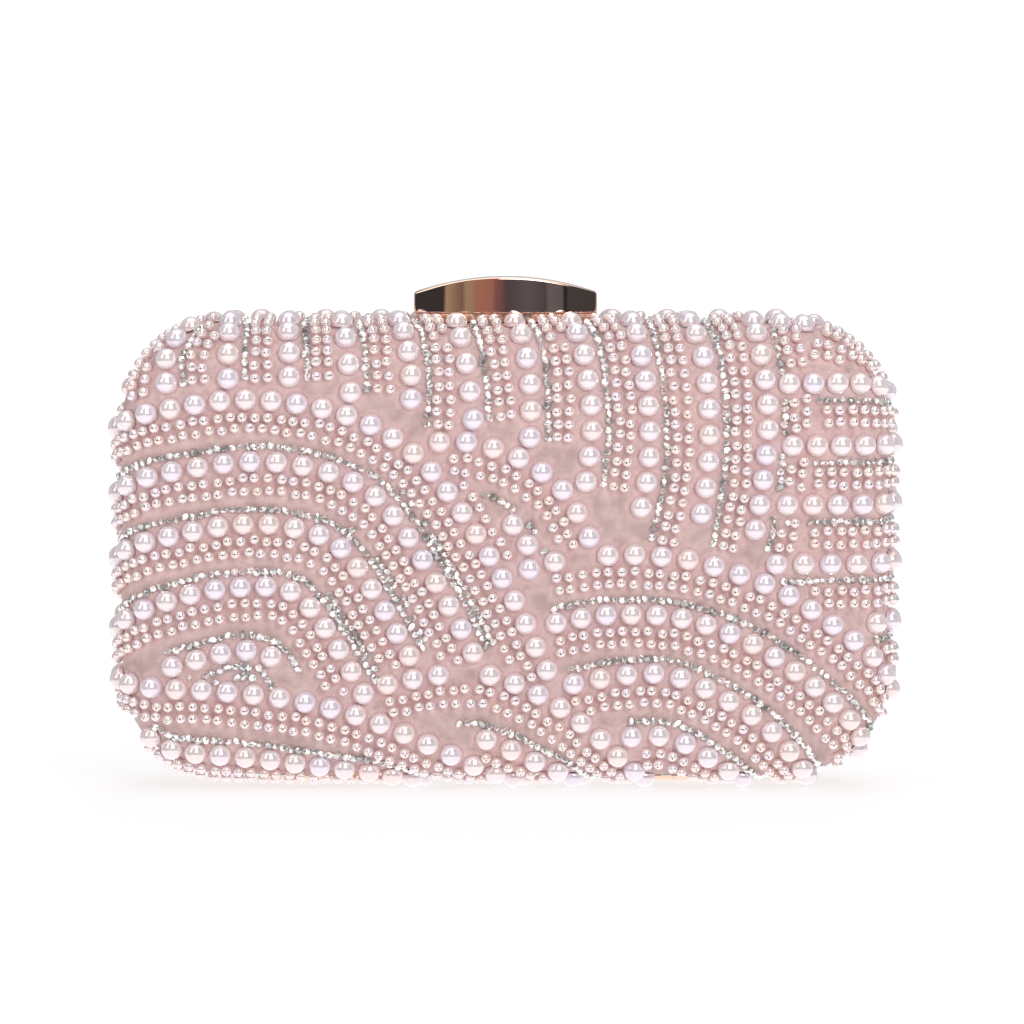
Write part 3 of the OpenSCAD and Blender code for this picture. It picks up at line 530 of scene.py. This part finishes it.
def cut_evenly(piece, step, axes="XYZ"):
    """Cuts the shown faces into cells of one size, with planes square to the axes."""
    box = [Vector(corner) for corner in piece.bound_box]
    for axis in ["XYZ".index(letter) for letter in axes]:
        low, high = min(c[axis] for c in box), max(c[axis] for c in box)
        count = math.floor((high - low) / step)
        first = (low + high) / 2 - step * (count - 1) / 2
        for k in range(count):
            at, normal = [0.0, 0.0, 0.0], [0.0, 0.0, 0.0]
            at[axis], normal[axis] = first + k * step, 1.0
            bpy.ops.mesh.select_all(action="SELECT")
            bpy.ops.mesh.bisect(plane_co=at, plane_no=normal)


# ---- Where the beads sit ---------------------------------------------------------------
def solids_of(node):
    """The vertices of each separate solid of a CAD node, as arrays of points."""
    mesh = NODES[node].data
    points = np.empty(len(mesh.vertices) * 3)
    mesh.vertices.foreach_get("co", points)
    corners = np.empty(len(mesh.loops), dtype=np.int64)
    mesh.loops.foreach_get("vertex_index", corners)
    points, joined = np.unique(points.reshape(-1, 3).round(6), axis=0, return_inverse=True)
    faces = joined.ravel()[corners].reshape(-1, 3)
    label = np.arange(len(points))
    while True:
        lowest = label[faces].min(axis=1)
        lower = label.copy()
        np.minimum.at(lower, faces.ravel(), np.repeat(lowest, 3))
        lower = lower[lower]
        if (lower == label).all():
            break
        label = lower
    order = np.argsort(label, kind="stable")
    breaks = np.flatnonzero(np.diff(label[order])) + 1
    return [points[group] for group in np.split(order, breaks)]


def surface_of(node):
    mesh = NODES[node].data
    return BVHTree.FromPolygons([v.co.copy() for v in mesh.vertices], [p.vertices[:] for p in mesh.polygons])


def bead_places(nodes, cover):
    """Each bead's foot on the cover and the way it faces."""
    places = []
    for node in nodes:
        for points in solids_of(node):
            middle = Vector((points.min(axis=0) + points.max(axis=0)) / 2)
            foot = cover.find_nearest(middle)[0]
            places.append((foot, (middle - foot).normalized()))
    return places


def strewn(name, pattern, places, body, seed, tilt=0.0, sizes=(1.0, 1.0), uneven=0.0):
    """Copies of a pattern piece on a list of places, as one piece with a tone per copy."""
    rng = random.Random(seed)
    copies = []
    for foot, up in places:
        copy = pattern.copy()
        copy.data = pattern.data.copy()
        tone = copy.data.attributes.new("tone", "FLOAT", "POINT")
        tone.data.foreach_set("value", [rng.random()] * len(copy.data.vertices))
        lean = Vector((rng.uniform(-tilt, tilt), rng.uniform(-tilt, tilt), 1)).normalized()
        turn = (up.to_track_quat("Z", "X").to_matrix() @ lean.to_track_quat("Z", "X").to_matrix()
                @ Matrix.Rotation(rng.uniform(0, math.tau), 3, "Z"))
        size, stretch = rng.uniform(*sizes), 1 + rng.uniform(-uneven, uneven)
        shape = Matrix.Diagonal((size * stretch, size / stretch, size))
        copy.data.transform(Matrix.Translation(foot) @ (turn @ shape).to_4x4())
        bpy.context.collection.objects.link(copy)
        copies.append(copy)
    bpy.ops.object.select_all(action="DESELECT")
    for copy in copies:
        copy.select_set(True)
    bpy.context.view_layer.objects.active = copies[0]
    bpy.ops.object.join()
    piece = bpy.context.object
    piece.name = name
    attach(piece, body)
    return piece


def drop(pattern):
    bpy.data.objects.remove(pattern, do_unlink=True)


# ---- Patterns of the beads ---------------------------------------------------------------
PEARL_R = 2.9 * MM
PEARL_H = 3.4 * MM
SEED_R = 1.4 * MM
SEED_LIFT = 0.05 * MM
SEED_FOOT_R = 0.7 * SEED_R        # where a small pearl meets the velvet
HOLE_FROM = 2.6 * MM              # faces higher than this make the mouth of a dark pit, a painted reflection
HOLE_LIP = 0.30 * MM
HOLE_DEPTH = 0.45 * MM
STONE_R = 0.8 * MM
STONE_FOOT = 0.05 * MM
GIRDLE_H = 0.4 * MM
CROWN_H = 0.45 * MM
TABLE_SHARE = 0.62
STONE_SIDES = 7


def large_pearl_pattern():
    """A ball with a flat back; its foot is at the origin and it faces +Z."""
    bpy.ops.mesh.primitive_uv_sphere_add(segments=20, ring_count=12, radius=PEARL_R,
                                         location=(0, 0, PEARL_H - PEARL_R))
    pearl = bpy.context.object
    bpy.ops.object.transform_apply(location=True, rotation=True, scale=True)
    begin_edit(pearl, "VERT")
    bpy.ops.mesh.select_all(action="SELECT")
    bpy.ops.mesh.bisect(plane_co=(0, 0, 0), plane_no=(0, 0, 1), clear_inner=True, use_fill=True)
    end_edit()
    pearl.data.materials.append(PEARL)
    smooth(pearl, 40)
    return pearl


def small_pearl_pattern():
    """A round bead with a dark pit facing out, a painted reflection of the dim room."""
    bpy.ops.mesh.primitive_uv_sphere_add(segments=12, ring_count=8, radius=SEED_R,
                                         location=(0, 0, SEED_R + SEED_LIFT))
    bead = bpy.context.object
    bpy.ops.object.transform_apply(location=True, rotation=True, scale=True)
    bead.data.materials.append(SMALL_PEARL)
    bead.data.materials.append(PAINTED_REFLECTION_PIT)
    begin_edit(bead)
    choose_faces(bead, lambda centre, normal: centre.z > HOLE_FROM)
    bpy.ops.mesh.inset(thickness=HOLE_LIP, use_relative_offset=False)
    bpy.ops.mesh.extrude_region_move(TRANSFORM_OT_translate={"value": (0, 0, -HOLE_DEPTH)})
    bead.active_material_index = 1
    bpy.ops.object.material_slot_assign()
    end_edit()
    smooth(bead, 50)
    return bead


def stone_pattern():
    """A chip cut with a girdle, a slanted crown and a flat table."""
    bpy.ops.mesh.primitive_cylinder_add(vertices=STONE_SIDES, radius=STONE_R, depth=GIRDLE_H,
                                        location=(0, 0, STONE_FOOT + GIRDLE_H / 2))
    stone = bpy.context.object
    bpy.ops.object.transform_apply(location=True, rotation=True, scale=True)
    begin_edit(stone)
    choose_faces(stone, lambda centre, normal: normal.z > 0.9)
    bpy.ops.mesh.extrude_region_move(TRANSFORM_OT_translate={"value": (0, 0, CROWN_H)})
    table = (0, 0, STONE_FOOT + GIRDLE_H + CROWN_H)
    bpy.ops.transform.resize(value=(TABLE_SHARE, TABLE_SHARE, 1), center_override=table)
    bpy.ops.transform.rotate(value=math.pi / STONE_SIDES, orient_axis="Z", center_override=table)
    bpy.ops.mesh.select_all(action="SELECT")
    bpy.ops.mesh.quads_convert_to_tris()
    end_edit()
    stone.data.materials.append(STONE)
    return stone


# ---- Covers --------------------------------------------------------------------------------
COVER_CELL = 1.35 * MM
COVER_EDGE = 3 * MM               # the cover isn't cut up this close to the parting line
SEWN_REACH = 1.35 * MM
SEWN_DEPTH = 0.22 * MM


def mark_sewn(piece, rims):
    """Writes how near each point is to a bead's rim, and picks those points as a group."""
    tree = KDTree(len(rims))
    for k, (foot, _) in enumerate(rims):
        tree.insert(foot, k)
    tree.balance()
    nearness = []
    for vertex in piece.data.vertices:
        total = 0.0
        for _, k, distance in tree.find_range(vertex.co, 3 * SEWN_REACH):
            gap = max(0.0, distance - rims[k][1]) / SEWN_REACH
            total += math.exp(-gap * gap)
        nearness.append(1 - math.exp(-0.9 * total))
    # This nearness also masks the painted bounce light on the velvet.
    field = piece.data.attributes.new("near_bead", "FLOAT", "POINT")
    field.data.foreach_set("value", nearness)
    group = piece.vertex_groups.new(name="sewn")
    for index, value in enumerate(nearness):
        group.add([index], value, "REPLACE")


def make_cover(half, rims):
    """The velvet skin of one half, drawn in a little where each bead is sewn down."""
    cover = copy_of(half + "_cover", half + "_velvet_cover", VELVET)
    middle = (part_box(half + "_cover")[0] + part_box(half + "_cover")[1]) / 2
    middle.y = 0
    begin_edit(cover)
    choose_faces(cover, lambda centre, normal:
                 normal.dot(centre - middle) <= 0 or abs(centre.y) < COVER_EDGE)
    bpy.ops.mesh.hide()
    cut_evenly(cover, COVER_CELL)
    bpy.ops.mesh.reveal()
    end_edit()
    mark_sewn(cover, rims)
    add_modifier(cover, "DISPLACE", strength=-SEWN_DEPTH, mid_level=0.0, vertex_group="sewn")
    smooth(cover, 50)
    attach(cover, BODY_OF_HALF[half])
    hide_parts(half + "_cover")


# ---- Beads of one half ------------------------------------------------------------------------
def make_beads(half, patterns):
    pearl, seed, stone = patterns
    body = BODY_OF_HALF[half]
    cover = surface_of(half + "_cover")
    rims = []
    for part in ("large_pearls_left", "large_pearls_right", "base_pearls"):
        node = half + "_" + part
        places = bead_places([node], cover)
        piece = strewn(half + "_pearls_" + part, pearl, places, body, node)
        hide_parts(node)
        rims += [(foot, PEARL_R) for foot, up in places]
    for quarter in QUARTERS:
        node = half + "_small_pearls_" + quarter
        places = bead_places([node], cover)
        piece = strewn(half + "_seed_pearls_" + quarter, seed, places, body, node,
                       tilt=0.25, sizes=(0.94, 1.0))
        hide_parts(node)
        rims += [(foot, SEED_FOOT_R) for foot, up in places]
    node = half + "_stones"
    places = bead_places([node], cover)
    piece = strewn(half + "_cut_stones", stone, places, body, node,
                   tilt=0.8, sizes=(1.1, 1.45), uneven=0.3)
    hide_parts(node)
    make_cover(half, rims)


# ---- Clasp cap and other metal parts with broken edges ---------------------------------------
def hand_over(piece, node):
    """Puts a finished piece in a CAD node's place, on the same body."""
    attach(piece, BODY_OF_NODE[node])
    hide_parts(node)


def join_flat_faces(piece):
    begin_edit(piece)
    bpy.ops.mesh.select_all(action="SELECT")
    bpy.ops.mesh.dissolve_limited(angle_limit=math.radians(0.3))
    end_edit()


def break_edges(piece, width, segments):
    join_flat_faces(piece)
    add_modifier(piece, "BEVEL", width=width, segments=segments, limit_method="ANGLE",
                 angle_limit=math.radians(40))
    smooth(piece, 40)
    add_modifier(piece, "WEIGHTED_NORMAL", weight=90, keep_sharp=True)


def make_clasp_cap():
    cap = copy_of("clasp_cap", "polished_clasp_cap", ROSE_MIRROR)
    break_edges(cap, 0.8 * MM, 5)
    hand_over(cap, "clasp_cap")


# Width of the broken edge of each stamped or cut metal part
BROKEN_EDGES = {
    "front_frame": 0.25 * MM, "rear_frame": 0.25 * MM, "clasp_base": 0.25 * MM,
    "chain_loop_left": 0.2 * MM, "chain_loop_right": 0.2 * MM,
    "front_hinge_leaves": 0.12 * MM, "rear_hinge_leaves": 0.12 * MM,
    "clasp_hook": 0.15 * MM, "clasp_keeper": 0.15 * MM, "clasp_screws": 0.25 * MM,
    "chain_loop_rivets": 0.2 * MM, "keeper_rivets": 0.2 * MM,
    "front_hinge_rivets": 0.2 * MM, "rear_hinge_rivets": 0.2 * MM,
}


def make_metal_parts():
    for node, width in BROKEN_EDGES.items():
        slot = SLOT_OF_NODE[node]
        part = copy_of(node, "finished_" + node, FINISHES[slot])
        break_edges(part, width, 2)
        hand_over(part, node)


def make_springs():
    """The two coil springs under the cap, on a mesh of their own."""
    springs = copy_of("clasp_springs", "wound_springs", STEEL)
    smooth(springs, 60)
    hand_over(springs, "clasp_springs")
    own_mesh(springs)


# ---- Linings, padding and pocket -------------------------------------------------------------
def rumple(piece, cell, depth, grain, chosen):
    """Cuts the chosen faces into cells and raises them in soft uneven folds."""
    begin_edit(piece)
    choose_faces(piece, lambda centre, normal: not chosen(centre, normal))
    bpy.ops.mesh.hide()
    cut_evenly(piece, cell)
    bpy.ops.mesh.reveal()
    end_edit()
    group = piece.vertex_groups.new(name="loose")
    loose = {v for face in piece.data.polygons if chosen(face.center, face.normal) for v in face.vertices}
    group.add(list(loose), 1.0, "REPLACE")
    folds = bpy.data.textures.new(piece.name + "_folds", "CLOUDS")
    folds.noise_scale = grain
    folds.noise_depth = 2
    add_modifier(piece, "DISPLACE", strength=depth, mid_level=0.5, texture=folds,
                 texture_coords="LOCAL", vertex_group="loose")
    smooth(piece, 60)


def facing_inside(half):
    low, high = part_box(half + "_lining")
    middle = (low + high) / 2
    middle.y = 0
    inner_edge = 2.9 * MM
    return lambda centre, normal: normal.dot(middle - centre) > 0 and abs(centre.y) > inner_edge


def make_lining(half):
    lining = copy_of(half + "_lining", half + "_satin_lining", SATIN)
    rumple(lining, 3.5 * MM, 0.8 * MM, 14 * MM, facing_inside(half))
    hand_over(lining, half + "_lining")


def make_padding(half):
    padding = copy_of(half + "_padding", half + "_wadding", FOAM)
    rumple(padding, 6 * MM, 0.1 * MM, 5 * MM, lambda centre, normal: True)
    hand_over(padding, half + "_padding")


HEM_W = 3.2 * MM
HEM_T = 0.9 * MM
STITCH_L = 2.0 * MM
STITCH_R = 0.2 * MM
STITCH_PITCH = 3.1 * MM


def make_pocket():
    """A satin slip pocket: a flat panel, a folded hem along its mouth and rows of stitches."""
    low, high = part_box("slip_pocket")
    pocket = copy_of("slip_pocket", "satin_slip_pocket", POCKET_SATIN)
    rumple(pocket, 3.5 * MM, 0.5 * MM, 12 * MM,
           lambda centre, normal: normal.y < -0.9 and centre.y < low.y + 0.1 * MM)
    hand_over(pocket, "slip_pocket")
    hem = block("pocket_hem", (low.x, low.y - HEM_T, high.z - HEM_W), (high.x, low.y + 0.3 * MM, high.z),
                POCKET_SATIN, 0.4 * MM)
    hand_over(hem, "slip_pocket")
    face_y = low.y - 0.1 * MM
    edge = 1.6 * MM
    runs = (((low.x + edge, low.z + edge), (high.x - edge, low.z + edge)),
            ((low.x + edge, low.z + 2 * edge), (low.x + edge, high.z - HEM_W)),
            ((high.x - edge, low.z + 2 * edge), (high.x - edge, high.z - HEM_W)))
    places = [place for start, stop in runs for place in stitch_places(start, stop, face_y)]
    hem_y = low.y - HEM_T
    places += stitch_places((low.x + edge, high.z - HEM_W + 0.8 * MM),
                            (high.x - edge, high.z - HEM_W + 0.8 * MM), hem_y)
    sew(places)


def block(name, low, high, finish, edge):
    low, high = Vector(low), Vector(high)
    bpy.ops.mesh.primitive_cube_add(size=1, location=(low + high) / 2, scale=high - low)
    piece = bpy.context.object
    piece.name = name
    bpy.ops.object.transform_apply(location=True, rotation=True, scale=True)
    piece.data.materials.append(finish)
    add_modifier(piece, "BEVEL", width=edge, segments=3)
    smooth(piece, 60)
    return piece


def stitch_places(start, stop, y):
    """Centres and directions of the stitches along a straight seam, given as (x, z) points."""
    start, stop = Vector((start[0], y, start[1])), Vector((stop[0], y, stop[1]))
    count = round((stop - start).length / STITCH_PITCH)
    along = (stop - start) / count
    return [(start + along * (k + 0.5), along.normalized()) for k in range(count)]


def sew(places):
    bpy.ops.mesh.primitive_cylinder_add(vertices=6, radius=STITCH_R, depth=STITCH_L)
    stitch = bpy.context.object
    stitch.data.materials.append(THREAD)
    add_modifier(stitch, "BEVEL", width=0.12 * MM, segments=1)
    smooth(stitch, 60)
    stitches = strewn("pocket_stitches", stitch, places, "rear_half", "stitches")
    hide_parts("slip_pocket")
    drop(stitch)


def finish_cad_parts():
    for node, slot in SLOT_OF_NODE.items():
        if slot in FINISHES:
            for place in NODES[node].material_slots:
                place.material = FINISHES[slot]


# ---- The whole bag ---------------------------------------------------------------------------
place_camera()
light_studio()
surround_with_room()
lay_floor()
bpy.context.scene.view_settings.view_transform = "Standard"
patterns = (large_pearl_pattern(), small_pearl_pattern(), stone_pattern())
for half in ("front", "rear"):
    make_beads(half, patterns)
    make_lining(half)
    make_padding(half)
for pattern in patterns:
    drop(pattern)
make_clasp_cap()
make_metal_parts()
make_springs()
make_pocket()
finish_cad_parts()
